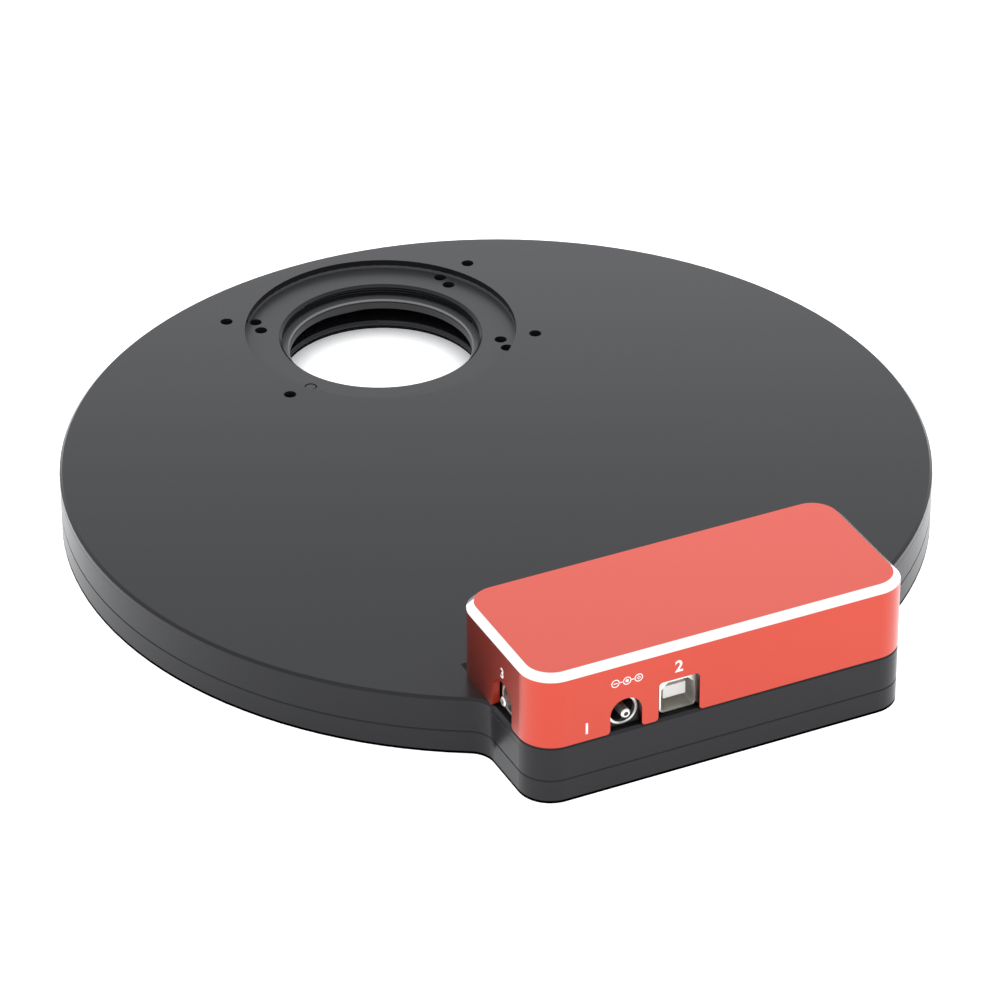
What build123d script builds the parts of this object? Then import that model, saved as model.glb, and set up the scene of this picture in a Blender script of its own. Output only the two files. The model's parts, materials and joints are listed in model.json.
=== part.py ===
from build123d import *
import os
from math import acos, atan2, cos, degrees, hypot, pi, radians, sin, sqrt, tan

os.makedirs("parts", exist_ok=True)

# Motorised filter wheel for an imaging telescope, in millimetres.
# Origin: the carousel's axis at the bottom face. +Z points up, away from the bottom face,
# +Y points from the carousel's axis to the light path, and the control box lies towards -Y.

# ---- Driving dimensions: housing --------------------------------------------------------
housing_height = 16.0
lower_height = 6.35            # height of the lower half, up to the seam
floor_thickness = 2.4
ceiling_thickness = 5.5
rim_wall = 8.0                 # wall around the carousel's cavity
edge_chamfer = 0.7
seam_chamfer = 0.25
block_width = 102.2            # straight-sided block under the control box
block_reach = 13.9             # how far the block stands out beyond the round
block_screw_x = 34.1           # from the middle to each screw in the block
corner_radius = 8.4
neck_fillet = 6.8
dowel_radius = 1.5
dowel_length = 8.0

# ---- Driving dimensions: light path -----------------------------------------------------
axis_offset = 71.0             # from the carousel's axis to the optical axis
port_radius = 27.0             # M54 thread
port_chamfer = 0.35
recess_radius = 36.4
recess_depth = 2.3
tapped_radius = 1.65           # as drilled for M4
outer_holes = (71.8, 42.0)     # spacing along X and Y
recess_holes_a = (55.8, 32.6)
recess_holes_b = (55.0, 41.8)
outer_hole_depth = 4.0
recess_hole_depth = 2.4

# ---- Driving dimensions: carousel and drive ----------------------------------------------
cell_count = 7
cell_chamfer = 0.4
cell_groove = (0.65, 0.25, 0.4)  # depth below the top, height and depth into the wall
carousel_gap = 0.2             # from the carousel's top to the ceiling
carousel_plate = 2.7
carousel_rim_height = 4.2
carousel_rim_width = 2.2       # ring inside the root of the teeth
gear_module = 1.25
carousel_teeth = 162
pinion_teeth = 12
pressure_angle = radians(25)
tooth_thinning = 0.10
centre_spread = 0.05
tip_clearance = 2.0            # from the teeth to the rim wall
hub_radius = 17.0
hub_drop = 1.4                 # how far the hub hangs below the toothed rim
lightening_radius = 7.5
lightening_circle = 31.0
rim_hole_radius = 5.0
rim_hole_circle = 85.0
magnet_radius = 2.0
magnet_height = 1.5
magnet_circle = 94.0
home_magnet_circle = 88.0
magnet_offset = radians(-5)    # magnets stand beside the middle of each web
sensor_size = (4.0, 1.6)       # along X and Y
sensor_play = 0.6
sensor_skin = 0.5              # metal left between a sensor and the carousel
pinion_margin = 0.4            # pinion's height beyond the rim, at each side
pinion_collar_radius = 4.2
pinion_collar_height = 2.6

# ---- Driving dimensions: filters ----------------------------------------------------------
filter_body_radius = 25.4
filter_body_height = 4.2
filter_shoulder = 0.8          # how far the ring reaches out over its threaded spigot
filter_thread_height = 2.3
filter_wall = 2.4              # ring's wall around the glass
filter_glass_height = 2.0
filter_lip = (0.7, 0.9)        # width and thickness of the lip over the glass

# ---- Driving dimensions: bearing and axle -------------------------------------------------
bearing_bore = 7.5
bearing_outer = 10.5
bearing_width = 4.0
bearing_ring = 0.9
ball_radius = 0.9
ball_count = 8
ball_play = 0.10
cage_height = 1.2
cage_width = 0.6
cage_lift = 0.3                # cage's lower face above the balls' centres
bearing_lip = 0.8
lip_width = 1.1                # how far lip and retainer reach over the outer ring
axle_flange_radius = 13.5
axle_flange_height = 1.9
axle_screw_circle = 10.6
cap_height = 0.7

# ---- Driving dimensions: control box ------------------------------------------------------
cover_depth = 43.7
cover_height = 20.5
cover_wall = 2.0
cover_chamfer = 1.8
post_radius = 4.0
post_inset = 5.6               # from the cover's outer faces to each post's axis
mouth_round = 1.0              # rounding where a slot meets the cover's bottom edge
board_thickness = 1.6
board_lift = 0.2               # board's top above the housing's top face
board_right = 1.5
board_margin = 0.5             # pocket's edge inside the cover's wall
board_hole_right = 4.1         # screw holes' insets from the pocket's edges
board_hole_left = 11.4
board_hole_back = 4.1
board_hole_front = (5.7, 3.1)  # left hole, right hole
pocket_depth = 1.9
pocket_gap = 0.3
motor_x = 24.0
motor_radius = 14.0
motor_height = 15.5
motor_flange = 1.0
motor_ear_spacing = 34.0
motor_ear_radius = 3.6
motor_boss_radius = 4.5
motor_boss_height = 1.5
motor_round = 1.2
motor_bore_depth = 12.0
motor_outlet = (2.4, 8.0, 5.0) # lead outlet's depth, width and height
lead_offset = 4.5              # lead's middle behind the motor's axis
shaft_radius = 1.5
socket_gap = 0.2               # from a socket's face to the cover's inner wall
usb_share = 0.231              # socket's axis left of the middle, over half the block's width
usb_slot = (11.1, 10.6)        # width, height above the housing's top face
usb_slot_round = 1.2
usb_slot_offset = -0.7         # slot's middle from the socket's axis
usb_sheet = 0.45
usb_depth = 16.0
usb_mouth = (9.0, 7.9, 9.0)
usb_mouth_chamfer = 1.8
usb_mouth_round = 0.9
usb_tongue = (6.0, 3.3)
usb_tongue_set_back = 1.8
usb_contact = (0.9, 6.0, 0.15)
usb_contact_step = 2.5
power_in_share = 0.5225
power_in_slot = (8.5, 9.05)
power_out_inset = 17.6         # from the block's front to the socket's axis
power_out_slot = (10.6, 10.2)
power_body = (9.0, 9.4, 14.0)
power_axis = 4.3               # socket's axis above the board
power_bore = 3.4
power_bore_depth = 9.5
power_rim = (0.5, 1.2)         # metal rim's width and depth
power_pin = 1.25
power_pin_hole = 0.6
power_pin_reach = 2.1          # how far the pin stands out of the body's face
power_pin_root = 2.5
power_spring = (1.7, 6.0, 0.4) # width, length, thickness
power_spring_radius = 2.3      # from the socket's axis to the leaf's outer face
power_spring_angle = 45.0
parts_inset = 11.0             # from the board's back edge to its row of components
chip_size = (7.0, 7.0, 1.0)
chip_offset = 3.0              # controller's middle to the left of the data socket's axis
driver_size = (5.0, 5.0, 0.9)
driver_offset = (3.0, 4.0)     # right of the power input's axis, in front of the row
capacitor = (3.15, 5.8)        # radius, height
capacitor_offsets = (4.0, 11.5)  # left of the power input's axis
capacitor_setback = 1.0
crystal = (5.0, 2.2, 2.0)
crystal_offset = 6.0           # behind the controller's middle
header_size = (6.0, 9.0, 5.6)
plug_size = (4.6, 8.0, 4.6)
lead_size = (5.4, 1.1)         # flat lead's width and thickness

# ---- Driving dimensions: screws and fits --------------------------------------------------
seat_gap = 0.05                # radial gap between pieces that seat in one another
running_gap = 0.06             # radial gap of the motor's shaft in its bore
face_gap = 0.05                # gap between a screw's tip, or a board, and what lies beyond
screw_radius = 1.5             # M3
small_screw_radius = 1.25      # M2.5
hole_play = 0.2                # radial play of a screw in a plain hole
head_ratio = 1.9               # screw head's radius over the thread's radius
head_sink = 0.1                # how far a countersunk head lies below its face
hex_ratio = 0.62               # hexagon socket's radius over the thread's radius
hex_depth_ratio = 0.75         # its depth over the thread's radius
pan_ratio = 1.2                # pan head's height over the thread's radius
cross_ratio = (0.25, 0.8)      # cross recess's width over the head's radius, depth over the thread's
tip_room = 0.2                 # hole left beyond a screw's or pin's end
boss_ratio = 2.2               # boss's radius over its screw's
collar_room = 0.6              # gap round the pinion's teeth where it passes through the lid
rim_screw_reach = 5.2          # thread in the upper half
cover_screw_reach = 8.0        # thread in the cover's posts
board_screw_reach = 2.6
motor_screw_reach = 3.5

# ---- Heights and places worked out from them ----------------------------------------------
top = housing_height
ceiling = housing_height - ceiling_thickness
cavity_radius = gear_module * (carousel_teeth / 2 + 1) + tip_clearance
disc_radius = cavity_radius + rim_wall
block_front = disc_radius + block_reach
wall_middle = (cavity_radius + disc_radius) / 2
recess_floor = top - recess_depth
carousel_top = ceiling - carousel_gap
plate_bottom = carousel_top - carousel_plate
rim_bottom = carousel_top - carousel_rim_height
hub_bottom = rim_bottom - hub_drop
cell_radius = filter_body_radius - filter_shoulder
filter_glass_radius = filter_body_radius - filter_wall
filter_clear_radius = filter_glass_radius - filter_lip[0]
bearing_top = carousel_top - bearing_lip
bearing_bottom = bearing_top - bearing_width
bearing_middle = (bearing_top + bearing_bottom) / 2
ball_circle = (bearing_bore + bearing_outer) / 2
centre_distance = gear_module * (carousel_teeth + pinion_teeth) / 2 + centre_spread
motor_y = -sqrt(centre_distance ** 2 - motor_x ** 2)
motor_angle = atan2(motor_y, motor_x)
pinion_tip = gear_module * (pinion_teeth / 2 + 1)
half_width = block_width / 2
cover_back = block_front - cover_depth
cover_top = top + cover_height
board_top = top + board_lift
board_bottom = board_top - board_thickness
pocket_floor = top - pocket_depth
usb_x = -half_width * usb_share
power_in_x = -half_width * power_in_share
power_out_y = power_out_inset - block_front
cell_step = 2 * pi / cell_count
open_cell_angle = pi / 2

posts = [(side * (half_width - post_inset), y)
         for side in (-1, 1)
         for y in (post_inset - block_front, -post_inset - cover_back)]
rim_screw_angles = [-115, -65] + list(range(-45, 226, 30))
rim_screws = [(wall_middle * cos(radians(a)), wall_middle * sin(radians(a))) for a in rim_screw_angles]
block_screws = [(side * block_screw_x, rim_wall - block_front) for side in (-1, 1)]
dowels = [(wall_middle, 0.0), (-wall_middle, 0.0)]
axle_screws = [(axle_screw_circle * cos(radians(a)), axle_screw_circle * sin(radians(a)))
               for a in (90, 210, 330)]
board_front = block_front - cover_wall - board_margin
board_back = cover_back + cover_wall + board_margin
board_left = half_width - cover_wall - board_margin
board_screws = [(board_right - board_hole_right, board_hole_front[1] - board_front),
                (board_right - board_hole_right, -board_hole_back - board_back),
                (board_hole_left - board_left, board_hole_front[0] - board_front),
                (board_hole_left - board_left, -board_hole_back - board_back)]
motor_screws = [(motor_x - motor_ear_spacing / 2, motor_y),
                (motor_x + motor_ear_spacing / 2, motor_y)]
hall_angle = 3 * pi / 2 + magnet_offset
hall_places = [(circle * cos(hall_angle), circle * sin(hall_angle))
               for circle in (magnet_circle, home_magnet_circle)]

nodes = {}


# ---- Small shapes used by several pieces ---------------------------------------------------
def disc(radius, low, high, x=0.0, y=0.0):
    """Upright cylinder between two heights."""
    return Pos(x, y, low) * Cylinder(radius, high - low, align=(Align.CENTER, Align.CENTER, Align.MIN))


def ring(outer, inner, low, high, x=0.0, y=0.0):
    return disc(outer, low, high, x, y) - disc(inner, low, high, x, y)


def block(x0, x1, y0, y1, z0, z1):
    return Pos((x0 + x1) / 2, (y0 + y1) / 2, (z0 + z1) / 2) * Box(x1 - x0, y1 - y0, z1 - z0)


def cone(radius_low, radius_high, low, high, x=0.0, y=0.0):
    return Pos(x, y, low) * Cone(radius_low, radius_high, high - low,
                                 align=(Align.CENTER, Align.CENTER, Align.MIN))


def prism(face, low, high):
    """A flat outline drawn on XY, raised between two heights."""
    return Pos(0, 0, low) * extrude(face, high - low)


def polar(radius, angle):
    return radius * cos(angle), radius * sin(angle)


def group(solids):
    return Compound(children=list(solids))


def countersunk(radius, length, loose=0.0, sink=0.0):
    """Countersunk screw along +Z from its head's face at zero, or with loose the hole for one."""
    core = radius + loose
    head = radius * head_ratio + loose
    shape = disc(core, 0, length) + cone(head, core, sink, sink + head - core)
    if sink:
        shape += disc(head, 0, sink)
    return shape


def socket_screw(length):
    """M3 countersunk screw along +Z, with a hexagon socket in its head."""
    key = extrude(RegularPolygon(screw_radius * hex_ratio, 6), screw_radius * hex_depth_ratio)
    return countersunk(screw_radius - seat_gap, length) - key


def screw_up(x, y, face, tip):
    """Countersunk screw driven upwards from a face that looks down."""
    return Pos(x, y, face + head_sink) * socket_screw(tip - face - head_sink)


def hole_up(x, y, face, far):
    """Countersunk plain hole for screw_up."""
    return Pos(x, y, face) * countersunk(screw_radius, far - face, hole_play, head_sink)


def pan_screw(x, y, seat, tip, radius=small_screw_radius):
    """Pan-head screw driven downwards, with a cross-shaped drive."""
    head = radius * head_ratio
    head_top = seat + radius * pan_ratio
    screw = disc(radius - seat_gap, tip, seat, x, y) + disc(head, seat, head_top, x, y)
    for turned in (0, 90):
        screw -= Pos(x, y, head_top) * Rot(0, 0, turned) * Box(
            head, head * cross_ratio[0], radius * cross_ratio[1])
    return screw


# ---- Outlines ------------------------------------------------------------------------------
def housing_outline():
    """Round housing with a straight block in front, filleted into the round."""
    reach = block_front
    straight = Pos(0, -reach / 2) * Rectangle(block_width, reach)
    straight = fillet(straight.vertices().group_by(Axis.Y)[0], corner_radius)
    whole = Circle(disc_radius) + straight
    necks = [v for v in whole.vertices()
             if abs(hypot(v.X, v.Y) - disc_radius) < 0.01 and abs(abs(v.X) - half_width) < 0.01]
    return fillet(necks, neck_fillet)


def cover_outline(inset):
    """Rounded rectangle of the control box, moved inwards by a distance."""
    middle = -(block_front + cover_back) / 2
    return Pos(0, middle) * RectangleRounded(block_width - 2 * inset, cover_depth - 2 * inset,
                                             corner_radius - inset)


def board_outline(inset):
    """Circuit board, or the pocket for it, with a notch round each of the cover's posts."""
    left = -board_left + inset
    right = board_right - inset
    front = -board_front + inset
    back = -board_back - inset
    face = Pos((left + right) / 2, (front + back) / 2) * RectangleRounded(
        right - left, back - front, corner_radius - cover_wall - board_margin)
    for x, y in posts:
        if x < 0:
            face -= Pos(x, y) * Circle(post_radius + pocket_gap + inset)
    return face


def gear_face(teeth, tooth_angle, flank_points):
    """Involute gear; one tooth is centred on tooth_angle. Chords keep inside the involute."""
    pitch = gear_module * teeth / 2
    base = pitch * cos(pressure_angle)
    tip = pitch + gear_module
    root = pitch - 1.25 * gear_module

    def involute(radius):
        bend = acos(min(1.0, base / radius))
        return tan(bend) - bend

    def half_angle(radius):
        at_pitch = pi / (2 * teeth) - tooth_thinning / (2 * pitch)
        return at_pitch + involute(pitch) - involute(max(radius, base))

    start = max(root, base)
    flank = [start + (tip - start) * i / (flank_points - 1) for i in range(flank_points)]
    if root < base:
        flank = [root] + flank
    points = []
    for tooth in range(teeth):
        middle = tooth_angle + 2 * pi * tooth / teeth
        points += [polar(r, middle - half_angle(r)) for r in flank]
        points += [polar(r, middle + half_angle(r)) for r in reversed(flank)]
    return make_face(Polyline(points, close=True))


# ---- Housing -------------------------------------------------------------------------------
outline = housing_outline()
pinion_pocket = pinion_tip + tip_clearance


def light_port(low, high, chamfered_top):
    """Threaded port's bore with a chamfer at its outer mouth."""
    bore = disc(port_radius, low, high, 0, axis_offset)
    wide = port_radius + port_chamfer
    if chamfered_top:
        return bore + cone(port_radius, wide, high - port_chamfer, high, 0, axis_offset)
    return bore + cone(wide, port_radius, low, low + port_chamfer, 0, axis_offset)


def four_holes(spacing, face, depth):
    holes = []
    for sx in (-1, 1):
        for sy in (-1, 1):
            x = sx * spacing[0] / 2
            y = axis_offset + sy * spacing[1] / 2
            holes.append(disc(tapped_radius, face - depth, face, x, y))
    return holes


def lower_housing():
    body = prism(outline, 0, lower_height)
    body = chamfer(body.faces().sort_by(Axis.Z)[0].edges(), edge_chamfer)
    body = chamfer(body.faces().sort_by(Axis.Z)[-1].edges(), seam_chamfer)
    body -= disc(cavity_radius, floor_thickness, lower_height)
    body -= disc(pinion_pocket, floor_thickness, lower_height, motor_x, motor_y)
    body -= light_port(0, floor_thickness, chamfered_top=False)
    for x, y in rim_screws + block_screws:
        body -= hole_up(x, y, 0, lower_height)
    for x, y in axle_screws:
        body -= hole_up(x, y, 0, floor_thickness)
    for x, y in dowels:
        body -= disc(dowel_radius + seat_gap, lower_height - dowel_length / 2 - tip_room, lower_height, x, y)
    return body


def upper_housing():
    body = prism(outline, lower_height, top)
    body = chamfer(body.faces().sort_by(Axis.Z)[-1].edges(), edge_chamfer)
    body = chamfer(body.faces().sort_by(Axis.Z)[0].edges(), seam_chamfer)
    body -= disc(cavity_radius, lower_height, ceiling)
    body -= disc(pinion_pocket, lower_height, ceiling, motor_x, motor_y)
    body -= disc(pinion_tip + collar_room, ceiling, top, motor_x, motor_y)
    body -= disc(recess_radius, recess_floor, top, 0, axis_offset)
    body -= light_port(ceiling, recess_floor, chamfered_top=True)
    body -= four_holes(outer_holes, top, outer_hole_depth)
    body -= four_holes(recess_holes_a, recess_floor, recess_hole_depth)
    body -= four_holes(recess_holes_b, recess_floor, recess_hole_depth)
    body -= prism(board_outline(0), pocket_floor, top)
    for x, y in board_screws:
        body += disc(small_screw_radius * boss_ratio, pocket_floor, board_bottom, x, y)
        body -= disc(small_screw_radius, board_bottom - board_screw_reach - tip_room, board_bottom, x, y)
    for x, y in motor_screws:
        body -= disc(small_screw_radius, top - motor_screw_reach - tip_room, top, x, y)
    for x, y in rim_screws + block_screws:
        body -= disc(screw_radius, lower_height, lower_height + rim_screw_reach + tip_room, x, y)
    for x, y in posts:
        body -= hole_up(x, y, ceiling, top)
        body -= disc(screw_radius * head_ratio + hole_play, lower_height, ceiling, x, y)
    for x, y in dowels:
        body -= disc(dowel_radius + seat_gap, lower_height, lower_height + dowel_length / 2 + tip_room, x, y)
    for x, y in hall_places:
        half_x = (sensor_size[0] + sensor_play) / 2
        half_y = (sensor_size[1] + sensor_play) / 2
        body -= block(x - half_x, x + half_x, y - half_y, y + half_y, ceiling + sensor_skin, pocket_floor)
    return body


nodes["lower_housing"] = lower_housing()
nodes["upper_housing"] = upper_housing()
nodes["housing_screws"] = group(
    screw_up(x, y, 0, lower_height + rim_screw_reach) for x, y in rim_screws + block_screws)
nodes["dowel_pins"] = group(
    disc(dowel_radius, lower_height - dowel_length / 2, lower_height + dowel_length / 2, x, y)
    for x, y in dowels)


# ---- Axle and ball bearing -------------------------------------------------------------------
shoulder_radius = bearing_bore + bearing_ring * 0.8
race = Pos(0, 0, bearing_middle) * Torus(ball_circle, ball_radius + ball_play)
ball_places = [polar(ball_circle, 2 * pi * i / ball_count) for i in range(ball_count)]
cap_face = bearing_top + cap_height


def hub_axle():
    axle = disc(axle_flange_radius, floor_thickness, floor_thickness + axle_flange_height)
    axle += disc(shoulder_radius, floor_thickness, bearing_bottom)
    axle += disc(bearing_bore - seat_gap, floor_thickness, bearing_top)
    for x, y in axle_screws:
        axle -= disc(screw_radius, floor_thickness, floor_thickness + axle_flange_height, x, y)
    return axle - cap_hole()


def cap_hole():
    """Hole in cap and axle for the screw that is driven down from the cap's face."""
    return Pos(0, 0, cap_face) * Rot(180, 0, 0) * countersunk(screw_radius, cap_screw_length + face_gap,
                                                              seat_gap, head_sink)


cap_screw_length = cap_face - floor_thickness - axle_flange_height / 2
nodes["hub_axle"] = hub_axle()
nodes["axle_screws"] = group(
    screw_up(x, y, 0, floor_thickness + axle_flange_height - face_gap) for x, y in axle_screws)
nodes["axle_cap"] = disc(shoulder_radius, bearing_top, cap_face) - cap_hole()
nodes["axle_cap_screw"] = (Pos(0, 0, cap_face - head_sink) * Rot(180, 0, 0)
                           * socket_screw(cap_screw_length - head_sink))
nodes["bearing_inner_ring"] = ring(bearing_bore + bearing_ring, bearing_bore,
                                   bearing_bottom, bearing_top) - race
nodes["bearing_outer_ring"] = ring(bearing_outer, bearing_outer - bearing_ring,
                                   bearing_bottom, bearing_top) - race
nodes["bearing_balls"] = group(Pos(x, y, bearing_middle) * Sphere(ball_radius) for x, y in ball_places)
nodes["bearing_retainer"] = ring(bearing_outer - seat_gap, bearing_outer - lip_width,
                                 hub_bottom, bearing_bottom)


def bearing_cage():
    low = bearing_middle + cage_lift
    cage = ring(ball_circle + cage_width / 2, ball_circle - cage_width / 2, low, low + cage_height)
    for x, y in ball_places:
        cage -= Pos(x, y, bearing_middle) * Sphere(ball_radius + ball_play)
    return cage


nodes["bearing_cage"] = bearing_cage()


# ---- Carousel and filters ---------------------------------------------------------------------
gear_root = gear_module * (carousel_teeth / 2 - 1.25)
cells = [polar(axis_offset, open_cell_angle + cell_step * i) for i in range(cell_count)]
web_angles = [open_cell_angle + cell_step * (i + 0.5) for i in range(cell_count)]
magnets = [polar(magnet_circle, angle + magnet_offset) for angle in web_angles]
home_magnet = polar(home_magnet_circle, web_angles[cell_count // 2] + magnet_offset)
glass_top = plate_bottom - filter_lip[1]
glass_bottom = glass_top - filter_glass_height


def filter_carousel():
    """Toothed wheel: a thin plate with threaded cells, a deeper rim and a hub for the bearing."""
    wheel = prism(gear_face(carousel_teeth, motor_angle + pi / carousel_teeth, 2), rim_bottom, carousel_top)
    wheel -= ring(gear_root - carousel_rim_width, hub_radius, rim_bottom, plate_bottom)
    wheel += disc(hub_radius, hub_bottom, plate_bottom)
    wheel -= disc(bearing_outer + seat_gap, hub_bottom, bearing_top)
    wheel -= disc(bearing_outer - lip_width, bearing_top, carousel_top)
    groove_top = carousel_top - cell_groove[0]
    for x, y in cells:
        wheel -= disc(cell_radius, plate_bottom, carousel_top, x, y)
        wheel -= cone(cell_radius, cell_radius + cell_chamfer, carousel_top - cell_chamfer, carousel_top, x, y)
        wheel -= disc(cell_radius + cell_groove[2], groove_top - cell_groove[1], groove_top, x, y)
    for angle in web_angles:
        for circle, radius in ((lightening_circle, lightening_radius), (rim_hole_circle, rim_hole_radius)):
            x, y = polar(circle, angle)
            wheel -= disc(radius, plate_bottom, carousel_top, x, y)
    for x, y in magnets + [home_magnet]:
        wheel -= disc(magnet_radius + seat_gap, carousel_top - magnet_height - face_gap, carousel_top, x, y)
    return wheel


def filter_ring(x, y):
    """Screw-in ring of one filter: body below the plate, threaded spigot up into the cell."""
    body = ring(filter_body_radius, filter_glass_radius + seat_gap, plate_bottom - filter_body_height,
                glass_top, x, y)
    body += ring(filter_body_radius, filter_clear_radius, glass_top, plate_bottom, x, y)
    return body + ring(cell_radius - seat_gap, filter_clear_radius, plate_bottom,
                       plate_bottom + filter_thread_height, x, y)


nodes["filter_carousel"] = filter_carousel()
nodes["index_magnets"] = group(disc(magnet_radius, carousel_top - magnet_height, carousel_top, x, y)
                               for x, y in magnets + [home_magnet])
filter_kinds = ["clear", "red", "green", "blue", "deep_red", "teal"]
nodes["filter_rings"] = group(filter_ring(x, y) for x, y in cells[1:])
for kind, (x, y) in zip(filter_kinds, cells[1:]):
    nodes[f"filter_glass_{kind}"] = disc(filter_glass_radius, glass_bottom, glass_top, x, y)


# ---- Motor and pinion ---------------------------------------------------------------------------
flange_top = top + motor_flange
motor_top = flange_top + motor_height
pinion_bottom = rim_bottom - pinion_margin
pinion_top = carousel_top + pinion_margin
collar_top = pinion_top + pinion_collar_height
outlet_left = motor_x - motor_radius - motor_outlet[0]
lead_y = motor_y + lead_offset


def motor_case():
    case = disc(motor_radius, flange_top, motor_top, motor_x, motor_y)
    case = fillet(case.edges().sort_by(Axis.Z)[-1], motor_round)
    case += disc(motor_boss_radius, top - motor_boss_height, flange_top, motor_x, motor_y)
    width, height = motor_outlet[1:]
    case += block(outlet_left, motor_x, lead_y - width / 2, lead_y + width / 2,
                  flange_top + height / 2, flange_top + height * 1.5)
    bore_top = flange_top + motor_bore_depth
    return case - disc(shaft_radius + running_gap, top - motor_boss_height, bore_top, motor_x, motor_y)


def motor_flange_plate():
    plate = Circle(motor_radius) + SlotCenterToCenter(motor_ear_spacing, 2 * motor_ear_radius)
    plate -= Circle(motor_boss_radius + seat_gap)
    for side in (-1, 1):
        plate -= Pos(side * motor_ear_spacing / 2, 0) * Circle(small_screw_radius + hole_play)
    return prism(Pos(motor_x, motor_y) * plate, top, flange_top)


def drive_pinion():
    teeth = Pos(motor_x, motor_y) * gear_face(pinion_teeth, motor_angle + pi, 4)
    pinion = prism(teeth, pinion_bottom, pinion_top)
    pinion += disc(pinion_collar_radius, pinion_top, collar_top, motor_x, motor_y)
    pinion -= disc(shaft_radius + seat_gap, pinion_bottom, collar_top, motor_x, motor_y)
    return pinion - collar_bar(pinion_collar_height / 4 + seat_gap, 0, 2 * pinion_collar_radius)


def collar_bar(radius, inner, outer):
    """Radial bar through the pinion's collar, between two distances from the shaft's axis."""
    return (Pos(motor_x + inner, motor_y, (pinion_top + collar_top) / 2) * Rot(0, 90, 0)
            * Cylinder(radius, outer - inner, align=(Align.CENTER, Align.CENTER, Align.MIN)))


nodes["motor_case"] = motor_case()
nodes["motor_flange"] = motor_flange_plate()
nodes["motor_screws"] = group(pan_screw(x, y, flange_top, top - motor_screw_reach) for x, y in motor_screws)
nodes["motor_shaft"] = disc(shaft_radius, pinion_bottom - pinion_margin,
                            flange_top + motor_bore_depth - running_gap, motor_x, motor_y)
nodes["drive_pinion"] = drive_pinion()
nodes["pinion_set_screw"] = collar_bar(pinion_collar_height / 4, shaft_radius + face_gap,
                                       pinion_collar_radius)


# ---- Control box ------------------------------------------------------------------------------
def front_face(x):
    """Frame of a socket in the front wall: origin at the foot of its slot, +Y inwards."""
    return Pos(x, -block_front, top)


def left_face(y):
    return Pos(-half_width, y, top) * Rot(0, 0, -90)


def along(radius, start, end, z):
    """Round bar that runs inwards, along a socket's own +Y."""
    return (Pos(0, start, z) * Rot(-90, 0, 0)
            * Cylinder(radius, end - start, align=(Align.CENTER, Align.CENTER, Align.MIN)))


def wall_slot(width, height, corner):
    """Slot through a wall, open at its foot, with rounded corners where it meets the edge."""
    face = Pos(0, height / 2) * Rectangle(width, height)
    face = fillet(face.vertices().group_by(Axis.Y)[-1], corner)
    face += Pos(0, -mouth_round / 2) * Rectangle(width + 4 * mouth_round, mouth_round)
    feet = [v for v in face.vertices() if abs(v.Y) < 0.001 and abs(abs(v.X) - width / 2) < 0.001]
    face = fillet(feet, mouth_round)
    return Pos(0, cover_wall * 1.5, 0) * Rot(90, 0, 0) * extrude(face, cover_wall * 2)


def cover():
    body = prism(cover_outline(0), top, cover_top)
    body = chamfer(body.faces().sort_by(Axis.Z)[-1].edges(), cover_chamfer)
    body -= prism(cover_outline(cover_wall), top, cover_top - cover_wall)
    post_top = top + cover_screw_reach + cover_wall
    body += [disc(post_radius, top, post_top, x, y) for x, y in posts]
    body -= [disc(screw_radius, top, top + cover_screw_reach + face_gap, x, y) for x, y in posts]
    body -= front_face(usb_x + usb_slot_offset) * wall_slot(*usb_slot, usb_slot_round)
    arch_in = power_in_slot[0] / 2 - face_gap
    arch_out = power_out_slot[0] / 2 - face_gap
    body -= front_face(power_in_x) * wall_slot(*power_in_slot, arch_in)
    return body - left_face(power_out_y) * wall_slot(*power_out_slot, arch_out)


nodes["control_cover"] = cover()
nodes["cover_screws"] = group(screw_up(x, y, ceiling, top + cover_screw_reach) for x, y in posts)


# ---- Circuit board ------------------------------------------------------------------------------
def circuit_board():
    board = prism(board_outline(pocket_gap), board_bottom, board_top)
    return board - [disc(small_screw_radius + hole_play, board_bottom, board_top, x, y)
                    for x, y in board_screws]


def on_board(x, y, size):
    """Component of a width, depth and height, centred on a place on the board."""
    width, depth, height = size
    return block(x - width / 2, x + width / 2, y - depth / 2, y + depth / 2, board_top, board_top + height)


header_x = board_right - pocket_gap - plug_size[0] - header_size[0] / 2
header_right = header_x + header_size[0] / 2
lead_middle = flange_top + motor_outlet[2]
parts_row = -board_back - parts_inset
nodes["circuit_board"] = circuit_board()
nodes["board_screws"] = group(pan_screw(x, y, board_top, board_bottom - board_screw_reach)
                              for x, y in board_screws)
nodes["controller_chip"] = on_board(usb_x - chip_offset, parts_row, chip_size)
nodes["motor_driver_chip"] = on_board(power_in_x + driver_offset[0], parts_row - driver_offset[1], driver_size)
nodes["capacitors"] = group(disc(capacitor[0], board_top, board_top + capacitor[1],
                                 power_in_x - offset, parts_row - capacitor_setback)
                            for offset in capacitor_offsets)
nodes["crystal"] = on_board(usb_x - chip_offset, parts_row + crystal_offset, crystal)
nodes["motor_header"] = on_board(header_x, lead_y, header_size)
nodes["motor_plug"] = (block(header_right, header_right + plug_size[0],
                             lead_y - plug_size[1] / 2, lead_y + plug_size[1] / 2,
                             lead_middle - plug_size[2] / 2, lead_middle + plug_size[2] / 2))
nodes["motor_lead"] = block(header_right + plug_size[0], outlet_left,
                            lead_y - lead_size[0] / 2, lead_y + lead_size[0] / 2,
                            lead_middle - lead_size[1] / 2, lead_middle + lead_size[1] / 2)
nodes["position_sensors"] = group(
    block(x - sensor_size[0] / 2, x + sensor_size[0] / 2, y - sensor_size[1] / 2, y + sensor_size[1] / 2,
          ceiling + sensor_skin + sensor_play / 2, board_bottom) for x, y in hall_places)


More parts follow.
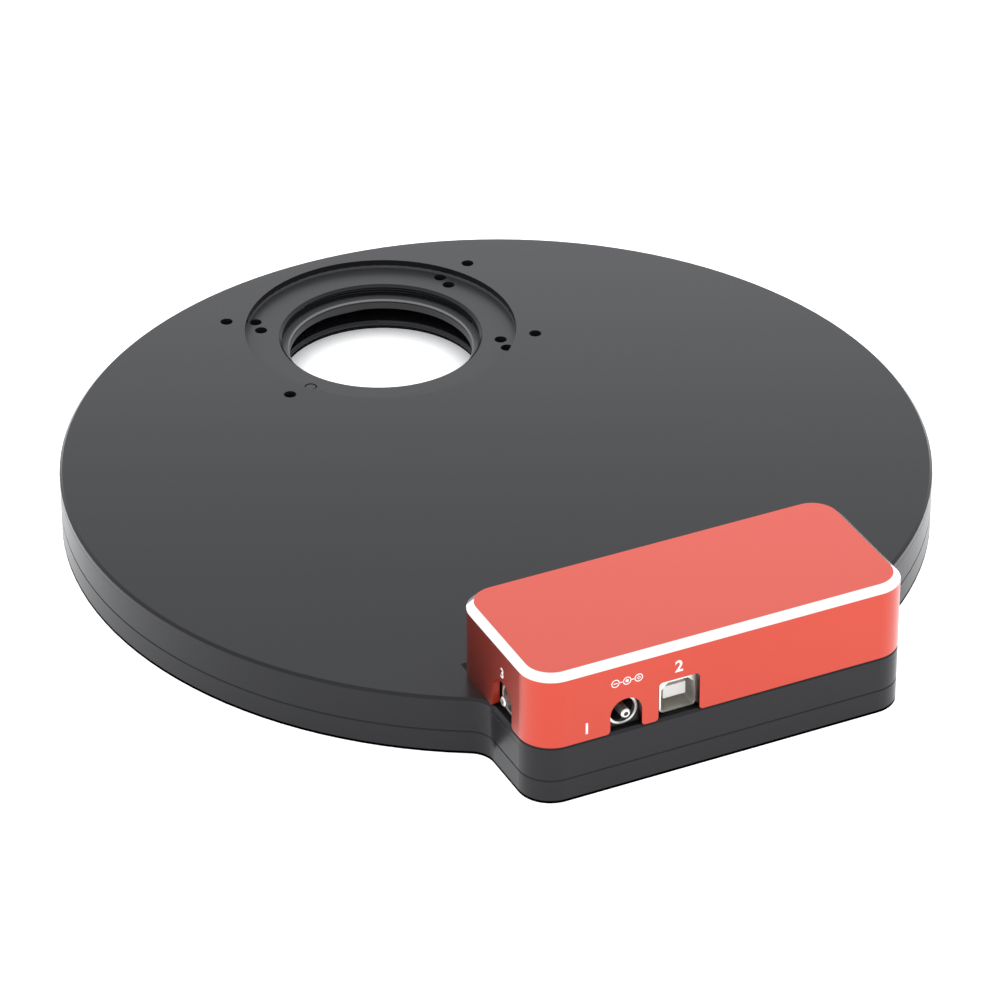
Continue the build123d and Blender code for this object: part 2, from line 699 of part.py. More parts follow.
# ---- Sockets --------------------------------------------------------------------------------------
socket_face = cover_wall + socket_gap
power_height = board_lift + power_axis
usb_height = board_lift + usb_sheet + usb_mouth[1] / 2


def power_body_solid():
    width, height, depth = power_body
    body = block(-width / 2, width / 2, socket_face, socket_face + depth, board_lift, board_lift + height)
    body -= along(power_bore + power_rim[0], socket_face, socket_face + power_rim[1], power_height)
    body -= along(power_bore, socket_face, socket_face + power_bore_depth, power_height)
    end = socket_face + power_bore_depth + power_pin_root + face_gap
    return body - along(power_pin + seat_gap, socket_face, end, power_height)


def power_rim_solid():
    end = socket_face + power_rim[1]
    outer = along(power_bore + power_rim[0] - seat_gap, socket_face, end, power_height)
    return outer - along(power_bore, socket_face, end, power_height)


def power_pin_solid():
    start = socket_face - power_pin_reach
    pin = along(power_pin, start, socket_face + power_bore_depth + power_pin_root, power_height)
    pin = chamfer(pin.edges().sort_by(Axis.Y)[0], power_pin / 4)
    return pin - along(power_pin_hole, start, start + 3 * power_pin, power_height)


def power_spring_solid():
    """Leaf contact beside the pin, on the upper left, standing in the back of the bore."""
    width, length, thickness = power_spring
    end = socket_face + power_bore_depth
    leaf = block(-width / 2, width / 2, end - length, end,
                 power_spring_radius - thickness, power_spring_radius)
    return Pos(0, 0, power_height) * Rot(0, -power_spring_angle, 0) * leaf


for side, frame in (("input", front_face(power_in_x)), ("output", left_face(power_out_y))):
    nodes[f"power_{side}_body"] = frame * power_body_solid()
    nodes[f"power_{side}_rim"] = frame * power_rim_solid()
    nodes[f"power_{side}_pin"] = frame * power_pin_solid()
    nodes[f"power_{side}_contact"] = frame * power_spring_solid()


def usb_prism(width, height, top_corner, low_corner, start, end):
    """Bar along a data socket's axis, with chamfered upper corners and rounded lower ones."""
    face = Rectangle(width, height)
    face = chamfer(face.vertices().group_by(Axis.Y)[-1], top_corner)
    face = fillet(face.vertices().group_by(Axis.Y)[0], low_corner)
    return Pos(0, end, usb_height) * Rot(90, 0, 0) * extrude(face, end - start)


def usb_shell_solid():
    """Drawn metal sleeve, open in front."""
    width, height = usb_mouth[:2]
    back = socket_face + usb_depth
    sleeve = usb_prism(width + 2 * usb_sheet, height + 2 * usb_sheet, usb_sheet,
                       usb_mouth_round + usb_sheet, socket_face, back)
    return sleeve - usb_prism(width, height, usb_mouth_chamfer, usb_mouth_round,
                              socket_face, back - usb_sheet)


def usb_insert_solid():
    """Moulded insulator at the back of the sleeve, with a flat tongue towards the mouth."""
    width, height, depth = usb_mouth
    body = usb_prism(width - 2 * face_gap, height - 2 * face_gap, usb_mouth_chamfer, usb_mouth_round,
                     socket_face + depth, socket_face + usb_depth - usb_sheet - face_gap)
    return body + block(-usb_tongue[0] / 2, usb_tongue[0] / 2,
                        socket_face + usb_tongue_set_back, socket_face + depth,
                        usb_height - usb_tongue[1] / 2, usb_height + usb_tongue[1] / 2)


def usb_contact_solids():
    width, length, thickness = usb_contact
    end = socket_face + usb_mouth[2]
    for x in (-usb_contact_step / 2, usb_contact_step / 2):
        for side in (-1, 1):
            low, high = sorted((side * usb_tongue[1] / 2, side * (usb_tongue[1] / 2 + thickness)))
            yield front_face(usb_x) * block(x - width / 2, x + width / 2, end - length, end,
                                            usb_height + low, usb_height + high)


nodes["usb_shell"] = front_face(usb_x) * usb_shell_solid()
nodes["usb_insert"] = front_face(usb_x) * usb_insert_solid()
nodes["usb_contacts"] = group(usb_contact_solids())

for name, shape in nodes.items():
    export_step(shape, f"parts/{name}.step")
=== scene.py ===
import bmesh
import bpy
import json
from math import pi, radians
from mathutils import Matrix, Vector


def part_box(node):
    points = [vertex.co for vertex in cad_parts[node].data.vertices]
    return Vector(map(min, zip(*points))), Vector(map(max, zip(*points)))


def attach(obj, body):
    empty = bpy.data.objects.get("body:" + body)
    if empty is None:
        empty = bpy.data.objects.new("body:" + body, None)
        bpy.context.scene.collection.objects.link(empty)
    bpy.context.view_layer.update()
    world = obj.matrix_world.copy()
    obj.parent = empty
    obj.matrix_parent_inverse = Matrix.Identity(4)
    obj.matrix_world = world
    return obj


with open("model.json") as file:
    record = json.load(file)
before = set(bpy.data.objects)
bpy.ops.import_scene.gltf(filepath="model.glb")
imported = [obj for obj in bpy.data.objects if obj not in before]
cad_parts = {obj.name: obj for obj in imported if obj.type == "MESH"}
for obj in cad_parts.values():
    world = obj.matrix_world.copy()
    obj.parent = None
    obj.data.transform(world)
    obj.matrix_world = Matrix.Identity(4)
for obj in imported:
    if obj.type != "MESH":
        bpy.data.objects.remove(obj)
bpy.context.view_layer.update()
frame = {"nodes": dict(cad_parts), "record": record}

MM = 0.001

# Places and sizes in millimetres
port_y = 71.0
port_radius = 27.0
port_crest = 26.55              # inner radius of the lead-ins, just past the threads' crests
thread_pitch = 0.75
recess_radius = 36.42           # just inside the recess's wall
grub_screw_x, grub_screw_y = -27.9, 54.7
ink = 0.03                      # thickness of the printed marks
ink_sunk = 0.01                 # part of it that lies inside the cover
floor_drop = 0.05               # the studio floor lies this far under the object
shade_drop = 0.03               # and the shade where the object stands, this far


# ---- Shader shorthand ------------------------------------------------------------------------
class Link:
    """A number or colour inside a finish; arithmetic on it adds the Math nodes."""

    def __init__(self, finish, socket):
        self.finish = finish
        self.socket = socket

    def maths(self, operation, first, second):
        return self.finish.node("ShaderNodeMath", {"operation": operation}, {0: first, 1: second})

    def __add__(self, other):
        return self.maths("ADD", self, other)

    def __sub__(self, other):
        return self.maths("SUBTRACT", self, other)

    def __mul__(self, other):
        return self.maths("MULTIPLY", self, other)

    def __rsub__(self, other):
        return self.maths("SUBTRACT", other, self)

    __radd__ = __add__
    __rmul__ = __mul__


class Finish:
    """One surface finish. Constants are set on its surface shader; paint() links what varies."""

    def __init__(self, name, **constants):
        self.material = bpy.data.materials.new(name)
        self.material.use_nodes = True
        self.surface = self.material.node_tree.nodes["Principled BSDF"]
        for socket, value in constants.items():
            self.surface.inputs[socket.replace("_", " ")].default_value = value
        place = self.material.node_tree.nodes.new("ShaderNodeTexCoord")
        self.place = Link(self, place.outputs["Object"])

    def node(self, kind, settings=None, sockets=None, output=0):
        made = self.material.node_tree.nodes.new(kind)
        for setting, value in (settings or {}).items():
            if setting == "stops":
                ramp = made.color_ramp.elements
                while len(ramp) < len(value):
                    ramp.new(1.0)
                for stop, (position, colour) in zip(ramp, value):
                    stop.position = position
                    stop.color = (*colour, 1.0)
            else:
                setattr(made, setting, value)
        for socket, value in (sockets or {}).items():
            self.feed(made.inputs[socket], value)
        return Link(self, made.outputs[output])

    def feed(self, socket, value):
        if isinstance(value, Link):
            self.material.node_tree.links.new(value.socket, socket)
        else:
            socket.default_value = value

    def paint(self, socket, value):
        self.feed(self.surface.inputs[socket], value)

    # patterns ---------------------------------------------------------------------------------
    def grain(self, size, detail=2.0, stretch=(1.0, 1.0, 1.0)):
        """Cloudy noise from 0 to 1 with features of about this size in metres."""
        place = self.place
        if stretch != (1.0, 1.0, 1.0):
            place = self.node("ShaderNodeMapping", {"vector_type": "POINT"},
                              {"Vector": self.place, "Scale": stretch})
        return self.node("ShaderNodeTexNoise", None,
                         {"Vector": place, "Scale": 1 / size, "Detail": detail, "Roughness": 0.55})

    def dimples(self, size):
        """Close-packed round pits, 0 at their middles."""
        return self.node("ShaderNodeTexVoronoi", {"feature": "SMOOTH_F1"},
                         {"Vector": self.place, "Scale": 1 / size, "Smoothness": 0.6})

    def ramp(self, value, low, high, to_low=0.0, to_high=1.0):
        return self.node("ShaderNodeMapRange", {"interpolation_type": "SMOOTHSTEP"},
                         {"Value": value, "From Min": low, "From Max": high,
                          "To Min": to_low, "To Max": to_high})

    def mix(self, share, first, second):
        """Colour between two colours."""
        colours = [c if isinstance(c, Link) else (*c, 1.0) for c in (first, second)]
        return self.node("ShaderNodeMix", {"data_type": "RGBA"},
                         {"Factor": share, 6: colours[0], 7: colours[1]}, output=2)

    def axis(self, name):
        """Position along X, Y or Z in metres."""
        return self.node("ShaderNodeSeparateXYZ", None, {"Vector": self.place}, output=name)

    def facing(self, name):
        """How far the surface faces along X, Y or Z: 1 straight along it, 0.7 on chamfers, 0 across it."""
        normal = self.node("ShaderNodeNewGeometry", None, None, output="True Normal")
        return self.node("ShaderNodeSeparateXYZ", None, {"Vector": normal}, output=name)

    def bump(self, height, depth, strength=1.0):
        """Relief of this depth in metres."""
        self.paint("Normal", self.node("ShaderNodeBump", None,
                                       {"Height": height, "Strength": strength, "Distance": depth}))


finishes = {}


def finish(slot, **constants):
    finishes[slot] = Finish(slot, **constants)
    return finishes[slot]


# ---- Finishes --------------------------------------------------------------------------------
def black_anodise():
    """Black dyed aluminium with a fine blast and faint clouding.

    The chamfers are a little smoother. The recess floor is duller and painted lighter as painted light, and
    the face under the cover is painted near black as painted shade.
    """
    skin = finish("black_anodised", Metallic=0.0, IOR=1.33)
    cloud = skin.grain(0.045, 3.0)
    speck = skin.grain(0.0005, 2.0)
    slope = skin.facing("Z")
    height = skin.axis("Z")
    chamfer = skin.ramp(slope, 0.45, 0.60) * skin.ramp(slope, 0.95, 0.85)
    recess = skin.ramp(height, 13.5 * MM, 13.6 * MM) * skin.ramp(height, 13.9 * MM, 13.8 * MM)
    # Painted shade: the top face hidden under the cover is painted near black and made rough.
    painted_shade_under_cover = (skin.ramp(slope, 0.90, 0.95) * skin.ramp(skin.axis("Y"), -83.5 * MM, -84.0 * MM)
               * skin.ramp(height, 15.8 * MM, 15.9 * MM) * skin.ramp(skin.axis("X"), -50.5 * MM, -50.0 * MM)
               * skin.ramp(skin.axis("X"), 50.5 * MM, 50.0 * MM))
    base_tone = skin.mix(cloud * 0.7 + speck * 0.3, (0.0122, 0.0122, 0.0145), (0.0158, 0.0158, 0.0185))
    # Painted light: the upward-facing floor of the recess is painted lighter than the rest of the black.
    tone_with_painted_recess_light = skin.mix(recess * skin.ramp(slope, 0.90, 0.95), base_tone, (0.036, 0.036, 0.038))
    skin.paint("Base Color", skin.mix(painted_shade_under_cover, tone_with_painted_recess_light, (0.002, 0.002, 0.002)))
    skin.paint("Roughness", speck * 0.04 + 0.21 - chamfer * 0.05 + recess * 0.16 + painted_shade_under_cover * 0.5)
    skin.bump(skin.dimples(0.00035) * (1 - chamfer * 0.8), 0.000012, 0.12)


black_anodise()


def satin_anodise():
    """Lighter satin anodise of the carousel and filter rings. The top faces are painted lighter as painted
    light, and the chamfered edges are painted bright as a painted highlight.
    """
    skin = finish("black_anodised_inner", Metallic=0.0, IOR=1.4)
    slope = skin.facing("Z")
    # Painted light: upward faces get a lighter colour than the walls. Painted highlight: chamfered edges get
    # a bright colour.
    painted_light_top = skin.ramp(slope, 0.90, 0.98)
    edge = skin.ramp(slope, 0.55, 0.65) * skin.ramp(slope, 0.85, 0.78)
    speck = skin.grain(0.0005, 2.0)
    wall = skin.mix(speck, (0.018, 0.018, 0.019), (0.026, 0.026, 0.028))
    face = skin.mix(painted_light_top, wall, (0.085, 0.085, 0.088))
    skin.paint("Base Color", skin.mix(edge, face, (0.20, 0.20, 0.21)))
    skin.paint("Roughness", speck * 0.10 + 0.38)
    skin.bump(skin.dimples(0.00045), 0.000012, 0.35)


satin_anodise()


def thread_black_painted_shade():
    """Black anodise down in a cut thread, where it stays dull, painted darker than the blasted black as
    painted shade in the thread.
    """
    skin = finish("thread_black_painted_shade", Metallic=0.0, IOR=1.2)
    speck = skin.grain(0.0006, 2.0)
    # Painted shade: the base colour is far darker than the blasted black.
    skin.paint("Base Color", skin.mix(speck, (0.0030, 0.0030, 0.0032), (0.0050, 0.0048, 0.0050)))
    skin.paint("Roughness", speck * 0.1 + 0.5)


thread_black_painted_shade()


def turned_black():
    """Lathe-turned black anodise, duller and lighter than the blasted faces, with fine rings."""
    skin = finish("turned_black", Metallic=0.0, IOR=1.4)
    ring = skin.grain(0.0003, 2.0, (0.05, 0.05, 1.0))
    skin.paint("Base Color", skin.mix(ring, (0.045, 0.045, 0.048), (0.060, 0.060, 0.063)))
    skin.paint("Roughness", ring * 0.1 + 0.40)


turned_black()


def red_anodise():
    """Red dyed aluminium under a clear sealed skin.

    The chamfer round the top is diamond-cut and bare. The lid is painted lighter and the walls darker, as
    painted light and shade on one red; the side slot's near wall is painted near black as painted shade, and
    its far wall is made less metallic so it reads lighter, as painted light.
    """
    skin = finish("red_anodised", Metallic=1.0, Coat_IOR=1.5, Coat_Roughness=0.3)
    box_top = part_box("control_cover")[1].z
    slope = skin.facing("Z")
    cut = (skin.ramp(slope, 0.60, 0.66) * skin.ramp(slope, 0.82, 0.76)
           * skin.ramp(skin.axis("Z"), box_top - 2.2 * MM, box_top - 2.0 * MM))
    cloud = skin.grain(0.03, 3.0)
    speck = skin.grain(0.0005, 2.0)
    patch = cloud * 0.5 + speck * 0.5
    # Painted light and shade: the lid's red is lighter and the walls' red darker, as lit and shaded copies
    # of one dye.
    painted_shade_walls = skin.mix(patch, (0.50, 0.033, 0.008), (0.55, 0.037, 0.010))
    painted_light_lid = skin.mix(patch, (0.60, 0.041, 0.012), (0.65, 0.046, 0.015))
    base_tone = skin.mix(skin.ramp(slope, 0.90, 0.98), painted_shade_walls, painted_light_lid)
    across = skin.facing("X")
    # Painted shade: the side slot's near wall is painted near black with no coat. Painted light: the slot's
    # far wall is made less metallic so it reads lighter.
    painted_shade_slot_side = skin.ramp(across, -0.75, -0.85) * skin.ramp(skin.axis("X"), -48.0 * MM, -47.0 * MM)
    painted_light_far_wall = (skin.ramp(skin.facing("Y"), -0.75, -0.85) * skin.ramp(skin.axis("X"), -48.7 * MM, -48.9 * MM)
                * skin.ramp(skin.axis("Y"), -118.0 * MM, -117.5 * MM))
    shaded = skin.mix(painted_shade_slot_side, base_tone, (0.045, 0.004, 0.002))
    skin.paint("Metallic", 1 - painted_light_far_wall * 0.7)
    skin.paint("Base Color", skin.mix(cut, shaded, (0.95, 0.94, 0.93)))
    skin.paint("Roughness", (speck * 0.08 + 0.36) * (1 - cut) + cut * 0.16)
    skin.paint("Coat Weight", (1 - cut) * (1 - painted_shade_slot_side))
    skin.bump(skin.dimples(0.00035) * (1 - cut), 0.000012, 0.35)


red_anodise()


def metal(slot, colour, roughness, spread=0.06, stretch=(1.0, 1.0, 12.0)):
    """Bare or plated metal with fine tool lines and slight patches in its gloss."""
    skin = finish(slot, Metallic=1.0)
    line = skin.grain(0.0016, 3.0, stretch)
    patch = skin.grain(0.006, 2.0)
    darker = tuple(c * 0.86 for c in colour)
    skin.paint("Base Color", skin.mix(patch, darker, colour))
    skin.paint("Roughness", line * spread + patch * spread + roughness)
    skin.bump(line, 0.000008, 0.5)


metal("steel", (0.60, 0.60, 0.61), 0.24)
metal("bearing_steel", (0.72, 0.73, 0.75), 0.08, spread=0.03)
metal("brass", (0.80, 0.58, 0.26), 0.22)
metal("nickel", (0.90, 0.89, 0.86), 0.34, stretch=(1.0, 10.0, 1.0))
metal("gold", (0.98, 0.80, 0.42), 0.30)
metal("motor_steel", (0.55, 0.55, 0.56), 0.30, spread=0.10)
metal("capacitor_aluminium", (0.82, 0.83, 0.84), 0.26)
metal("black_steel", (0.055, 0.054, 0.056), 0.34, spread=0.08)


def plastic(slot, dark, light, roughness):
    """Moulded plastic with a fine spark-eroded texture."""
    skin = finish(slot, Metallic=0.0, IOR=1.48)
    cloud = skin.grain(0.004, 2.0)
    skin.paint("Base Color", skin.mix(cloud, dark, light))
    skin.paint("Roughness", cloud * 0.08 + roughness)
    skin.bump(skin.grain(0.0004, 2.0), 0.00001, 0.5)


plastic("black_plastic", (0.014, 0.014, 0.014), (0.022, 0.022, 0.022), 0.40)
plastic("white_plastic", (0.74, 0.74, 0.71), (0.82, 0.82, 0.79), 0.36)


def white_ink():
    """Pad-printed ink, a little uneven."""
    skin = finish("white_ink", Metallic=0.0, IOR=1.45)
    cloud = skin.grain(0.0008, 2.0)
    skin.paint("Base Color", skin.mix(cloud, (0.80, 0.79, 0.78), (0.90, 0.89, 0.88)))
    skin.paint("Roughness", cloud * 0.1 + 0.45)


white_ink()


def ribbon():
    """Flat lead of four cores side by side."""
    skin = finish("lead_grey", IOR=1.48)
    wave = skin.node("ShaderNodeTexWave", {"bands_direction": "Y"},
                     {"Vector": skin.place, "Scale": 232.0, "Distortion": 0.0})
    skin.paint("Base Color", skin.mix(wave, (0.09, 0.09, 0.10), (0.24, 0.24, 0.26)))
    skin.paint("Roughness", wave * 0.1 + 0.45)
    skin.bump(wave, 0.00015, 0.6)


ribbon()


def circuit_board():
    """Solder mask over copper tracks, with tinned pads."""
    skin = finish("board_green", IOR=1.55, Coat_Weight=0.35, Coat_Roughness=0.12)
    cells = skin.node("ShaderNodeTexVoronoi", {"feature": "DISTANCE_TO_EDGE"},
                      {"Vector": skin.place, "Scale": 260.0, "Randomness": 0.75})
    track = skin.ramp(cells, 0.10, 0.06)
    spots = skin.node("ShaderNodeTexVoronoi", {"feature": "F1"},
                      {"Vector": skin.place, "Scale": 240.0, "Randomness": 0.6})
    pad = skin.ramp(spots, 0.10, 0.08)
    mask = skin.mix(track, (0.004, 0.022, 0.011), (0.008, 0.050, 0.022))
    skin.paint("Base Color", skin.mix(pad, mask, (0.75, 0.75, 0.74)))
    skin.paint("Metallic", pad * 0.9)
    skin.paint("Roughness", skin.grain(0.003, 2.0) * 0.1 + 0.32)
    skin.bump(track + pad, 0.00004, 0.6)


circuit_board()


def coated_glass(slot, tint, film):
    """Optical glass with an interference coating; film is the coating's thickness in nanometres."""
    skin = finish(slot, Transmission_Weight=1.0, IOR=1.52, Thin_Film_Thickness=film, Thin_Film_IOR=1.9)
    cloud = skin.grain(0.02, 1.0)
    skin.paint("Base Color", skin.mix(cloud, tuple(0.96 * c for c in tint), tint))
    skin.paint("Roughness", cloud * 0.01 + 0.01)


for kind, tint, film in (("clear", (0.94, 0.97, 0.97), 120.0), ("red", (0.80, 0.06, 0.04), 380.0),
                         ("green", (0.08, 0.62, 0.16), 460.0), ("blue", (0.06, 0.16, 0.78), 300.0),
                         ("deep_red", (0.28, 0.01, 0.02), 420.0), ("teal", (0.04, 0.50, 0.52), 340.0)):
    coated_glass(f"glass_{kind}", tint, film)

slot_of = {part["node"]: part["material_slot"] for part in frame["record"]["subparts"]}
for node, piece in frame["nodes"].items():
    for held in piece.material_slots:
        held.material = finishes[slot_of[node]].material


# ---- New pieces ------------------------------------------------------------------------------
def add_piece(name, shape, slot, body, sharp=30, finish_name=None):
    """Turns a bmesh whose place is in its mesh into a piece that rides on a body."""
    bmesh.ops.recalc_face_normals(shape, faces=shape.faces)
    mesh = bpy.data.meshes.new(name)
    shape.to_mesh(mesh)
    shape.free()
    mesh.polygons.foreach_set("use_smooth", [True] * len(mesh.polygons))
    mesh.set_sharp_from_angle(angle=radians(sharp))
    mesh.materials.append(finishes[finish_name or slot].material)
    piece = bpy.data.objects.new(name, mesh)
    bpy.context.scene.collection.objects.link(piece)
    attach(piece, body)
    return piece


def spin_round(shape, corners, edges, centre, axis, steps):
    """Sweeps a drawn profile once round an axis, so that it closes on itself."""
    bmesh.ops.spin(shape, geom=corners + edges, cent=[c * MM for c in centre], axis=axis,
                   angle=2 * pi, steps=steps, use_merge=True)


def closed_loop(shape, corners):
    return [shape.edges.new((corners[i - 1], corners[i])) for i in range(len(corners))]


def wind_thread(shape, x, y, low, high, bore, pitch, steps_per_turn):
    """Adds one internal thread: a V ridge wound up a bore, closed at both ends."""
    rise = pitch * 0.88
    crest = bore - pitch * 0.54
    root = bore + 0.02
    profile = [shape.verts.new(((x + r) * MM, y * MM, (low + z) * MM))
               for r, z in ((root, 0), (crest, rise * 0.44), (crest, rise * 0.56), (root, rise))]
    edges = closed_loop(shape, profile)
    turns = (high - low - rise) / pitch
    steps = round(turns * steps_per_turn)
    bmesh.ops.spin(shape, geom=profile + edges, cent=(x * MM, y * MM, 0), axis=(0, 0, 1),
                   angle=2 * pi * turns, dvec=(0, 0, (high - low - rise) * MM / steps), steps=steps,
                   use_duplicate=False)
    bmesh.ops.holes_fill(shape, edges=[e for e in shape.edges if e.is_boundary], sides=4)


def port_ring(name, mouth, throat, back, finish_name="black_anodised"):
    """A ring of three corners round the ports' axis, such as the smooth cone before a thread."""
    shape = bmesh.new()
    corners = [shape.verts.new((radius * MM, port_y * MM, level * MM))
               for radius, level in (mouth, throat, back)]
    spin_round(shape, corners, closed_loop(shape, corners), (0, port_y, 0), (0, 0, 1), 180)
    add_piece(name, shape, "black_anodised", "housing", finish_name=finish_name)


port_ring("telescope_port_lead_in", (27.33, 13.71), (port_crest, 13.05), (27.05, 13.05))
port_ring("camera_port_lead_in", (27.33, 0.01), (port_crest, 0.78), (27.05, 0.78))
port_ring("recess_turned_band", (recess_radius, 14.45), (36.12, 13.69), (recess_radius, 13.60),
          "turned_black")


def grub_screw(x, y):
    """Flush grub screw with a chamfered end, in one of the recess's tapped holes."""
    shape = bmesh.new()
    corners = [shape.verts.new(((x + radius) * MM, y * MM, level * MM)) for radius, level in
               ((1.32, 13.60), (1.32, 13.35), (1.67, 13.05), (1.67, 11.35))]
    edges = [shape.edges.new(pair) for pair in zip(corners, corners[1:])]
    steps = 36
    spin_round(shape, corners, edges, (x, y, 0), (0, 0, 1), steps)
    bmesh.ops.holes_fill(shape, edges=[edge for edge in shape.edges if edge.is_boundary], sides=steps)
    add_piece("adapter_hole_grub_screw", shape, "black_anodised", "housing")


grub_screw(grub_screw_x, grub_screw_y)


def port_thread(name, low, high, finish_name):
    shape = bmesh.new()
    wind_thread(shape, 0, port_y, low, high, port_radius, thread_pitch, 120)
    add_piece(name, shape, "black_anodised", "housing", finish_name=finish_name)


port_thread("telescope_port_thread", 10.7, 13.1, "thread_black_painted_shade")
port_thread("camera_port_thread", 0.7, 2.25, "turned_black")


def to_face(facing):
    """Turns flat artwork drawn on XY so that it reads upright on an outer wall of the cover."""
    turned = Matrix.Rotation(pi / 2, 4, "X")
    return Matrix.Rotation(-pi / 2, 4, "Z") @ turned if facing == "left" else turned


def print_number(number, height, centre, facing):
    """One plain printed number of this height, a hair's breadth proud of the cover."""
    letters = bpy.data.curves.new(f"number_{number}", "FONT")
    letters.body = number
    letters.extrude = 0.5
    letters.resolution_u = 6
    letters.offset = 0.022
    holder = bpy.data.objects.new(f"number_{number}", letters)
    mesh = bpy.data.meshes.new_from_object(holder)
    bpy.data.objects.remove(holder)
    shape = bmesh.new()
    shape.from_mesh(mesh)
    bmesh.ops.remove_doubles(shape, verts=shape.verts, dist=1e-4)
    low = Vector([min(v.co[i] for v in shape.verts) for i in range(3)])
    high = Vector([max(v.co[i] for v in shape.verts) for i in range(3)])
    bmesh.ops.translate(shape, verts=shape.verts, vec=-(low + high) / 2)
    size = height * MM / (high.y - low.y)
    bmesh.ops.scale(shape, verts=shape.verts, vec=(size, size, ink * MM / (high.z - low.z)))
    bmesh.ops.transform(shape, verts=shape.verts,
                        matrix=Matrix.Translation(Vector(centre) * MM) @ to_face(facing))
    add_piece(f"socket_number_{number}", shape, "white_plastic", "housing", finish_name="white_ink")


def print_polarity(centre, ring, spacing, line):
    """Centre-positive mark: three circles in a row, joined by lines, with a dot, a minus and a plus."""
    shape = bmesh.new()

    def bar(x, y, width, height):
        made = bmesh.ops.create_cube(shape, size=1.0)["verts"]
        bmesh.ops.scale(shape, verts=made, vec=(width, height, ink))
        bmesh.ops.translate(shape, verts=made, vec=(x, y, 0))

    def circle(x, inner, outer):
        corners = [shape.verts.new((x + r, 0, z)) for r, z in
                   ((inner, -ink / 2), (outer, -ink / 2), (outer, ink / 2), (inner, ink / 2))]
        bmesh.ops.spin(shape, geom=corners + closed_loop(shape, corners), cent=(x, 0, 0),
                       axis=(0, 0, 1), angle=2 * pi, steps=40, use_merge=True)

    for x in (-spacing, 0, spacing):
        circle(x, ring - line, ring)
    bmesh.ops.create_cone(shape, cap_ends=True, segments=32, radius1=ring * 0.4,
                          radius2=ring * 0.4, depth=ink)
    for side in (-1, 1):
        bar(side * spacing / 2, 0, spacing - 2 * ring + line, line)
        bar(side * spacing, 0, ring, line)
    bar(spacing, 0, line, ring)
    bmesh.ops.scale(shape, verts=shape.verts, vec=(MM, MM, MM))
    bmesh.ops.transform(shape, verts=shape.verts,
                        matrix=Matrix.Translation(Vector(centre) * MM) @ to_face("front"))
    add_piece("polarity_mark", shape, "white_plastic", "housing", finish_name="white_ink")


def socket_collar(name, node, facing):
    """Plated collar round a power socket's mouth, spun about the socket's own axis."""
    outer, inner, bevel, proud, sunk = 4.15, 3.45, 0.2, 0.12, 0.3
    low, high = (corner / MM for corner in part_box(node))
    middle = (low + high) / 2
    profile = ((inner, -proud), (outer - bevel, -proud), (outer, -proud + bevel),
               (outer, sunk), (inner, sunk))
    if facing == "front":
        drawn = [(middle.x + radius, low.y + depth, middle.z) for radius, depth in profile]
        axis, centre = (0, 1, 0), (middle.x, 0, middle.z)
    else:
        drawn = [(low.x + depth, middle.y + radius, middle.z) for radius, depth in profile]
        axis, centre = (1, 0, 0), (0, middle.y, middle.z)
    shape = bmesh.new()
    corners = [shape.verts.new(Vector(place) * MM) for place in drawn]
    spin_round(shape, corners, closed_loop(shape, corners), centre, axis, 72)
    add_piece(name, shape, "nickel", "housing")


socket_collar("power_input_collar", "power_input_rim", "front")
socket_collar("power_output_collar", "power_output_rim", "left")


cover_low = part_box("control_cover")[0] / MM
front_wall = cover_low.y - ink / 2 + ink_sunk
left_wall = cover_low.x - ink / 2 + ink_sunk
print_number("1", 3.1, (-37.2, front_wall, 19.5), "front")
print_number("2", 3.3, (-12.7, front_wall, 30.2), "front")
print_number("3", 2.8, (left_wall, -108.9, 28.8), "left")
print_polarity((-26.6, front_wall, 30.1), 1.12, 3.1, 0.26)


# ---- Floor, light and camera -------------------------------------------------------------------
def white_floor():
    """Wide white glowing sheet just under the object, with a painted shadow: dimmer in a ring round the
    port's axis, where the port's far edge would shade it.
    """
    shape = bmesh.new()
    bmesh.ops.create_grid(shape, x_segments=1, y_segments=1, size=6.0)
    bmesh.ops.translate(shape, verts=shape.verts, vec=(0, 0, -floor_drop * MM))
    mesh = bpy.data.meshes.new("studio_floor")
    shape.to_mesh(mesh)
    shape.free()
    paper = Finish("studio_paper", Roughness=0.9)
    paper.paint("Base Color", (0.80, 0.80, 0.80, 1.0))
    from_port = paper.node("ShaderNodeVectorMath", {"operation": "LENGTH"},
                           {0: paper.node("ShaderNodeVectorMath", {"operation": "SUBTRACT"},
                                          {0: paper.place, 1: (0.0, port_y * MM, 0.0)})}, output="Value")
    # Painted shadow: the glow dims in a ring round the port's axis.
    shaded = paper.ramp(from_port, 17.0 * MM, 27.6 * MM) * paper.ramp(from_port, 38.0 * MM, 30.0 * MM)
    paper.paint("Emission Color", paper.mix(shaded, (1.0, 1.0, 1.0), (0.25, 0.25, 0.25)))
    paper.paint("Emission Strength", 0.78)
    paper.paint("Specular IOR Level", 0.1)
    mesh.materials.append(paper.material)
    sheet = bpy.data.objects.new("studio_floor", mesh)
    bpy.context.scene.collection.objects.link(sheet)


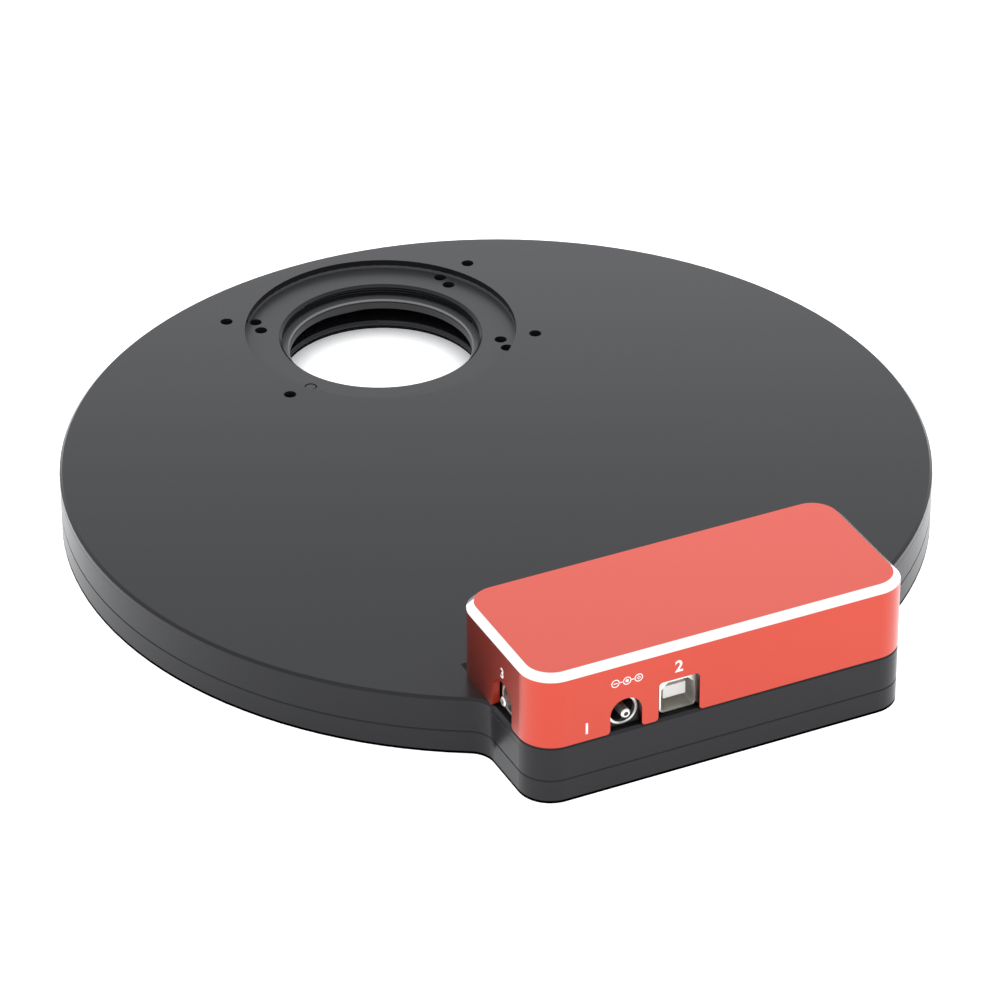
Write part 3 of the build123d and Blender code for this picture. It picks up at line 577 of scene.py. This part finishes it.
def contact_shade():
    """Shade on the sheet just where the object stands: the lower housing pressed flat."""
    shape = bmesh.new()
    shape.from_mesh(frame["nodes"]["lower_housing"].data)
    bmesh.ops.scale(shape, verts=shape.verts, vec=(1, 1, 0))
    bmesh.ops.translate(shape, verts=shape.verts, vec=(0, 0, -shade_drop * MM))
    mesh = bpy.data.meshes.new("studio_contact_shade")
    shape.to_mesh(mesh)
    shape.free()
    shade = Finish("studio_shade", Roughness=1.0)
    shade.paint("Base Color", (0.01, 0.01, 0.01, 1.0))
    mesh.materials.append(shade.material)
    patch = bpy.data.objects.new("studio_contact_shade", mesh)
    bpy.context.scene.collection.objects.link(patch)


def softbox(name, place, target, size, power):
    """A rectangular light of this size and power at a place, turned to a target."""
    lamp = bpy.data.lights.new(name, "AREA")
    lamp.shape = "RECTANGLE"
    lamp.size, lamp.size_y = size
    lamp.energy = power
    box = bpy.data.objects.new(name, lamp)
    box.location = place
    box.rotation_euler = (Vector(target) - Vector(place)).to_track_quat("-Z", "Y").to_euler()
    bpy.context.scene.collection.objects.link(box)


white_floor()
contact_shade()
softbox("softbox_back", (0.40, 0.75, 0.35), (0.05, 0.05, 0.016), (0.7, 0.27), 0.72)

world = bpy.data.worlds.new("studio")
world.use_nodes = True
world.node_tree.nodes["Background"].inputs["Color"].default_value = (0.98, 1.0, 1.02, 1.0)
world.node_tree.nodes["Background"].inputs["Strength"].default_value = 1.09
bpy.context.scene.world = world

bpy.context.scene.view_settings.view_transform = "Standard"
bpy.context.scene.view_settings.look = "None"

# The camera looks back along `back` at the target, from this far, with a slight roll
camera = bpy.data.objects.new("camera", bpy.data.cameras.new("camera"))
camera.data.lens = 194.37
camera.data.sensor_width = 36.0
camera.data.clip_start = 0.01
camera.data.clip_end = 50.0
camera_distance = 1.4050
camera_roll = -0.12
back = Vector((-0.3680, -0.7608, 0.5345)).normalized()
level = Vector((0.9002, -0.4354, 0.0)).normalized()
roll = Matrix.Rotation(radians(camera_roll), 3, back)
right = roll @ level
up = roll @ back.cross(level)
target = Vector((0.00203, 0.00181, 0.0))
camera.matrix_world = Matrix.Translation(target + back * camera_distance) @ Matrix(
    (right, up, back)).transposed().to_4x4()
bpy.context.scene.collection.objects.link(camera)
bpy.context.scene.camera = camera
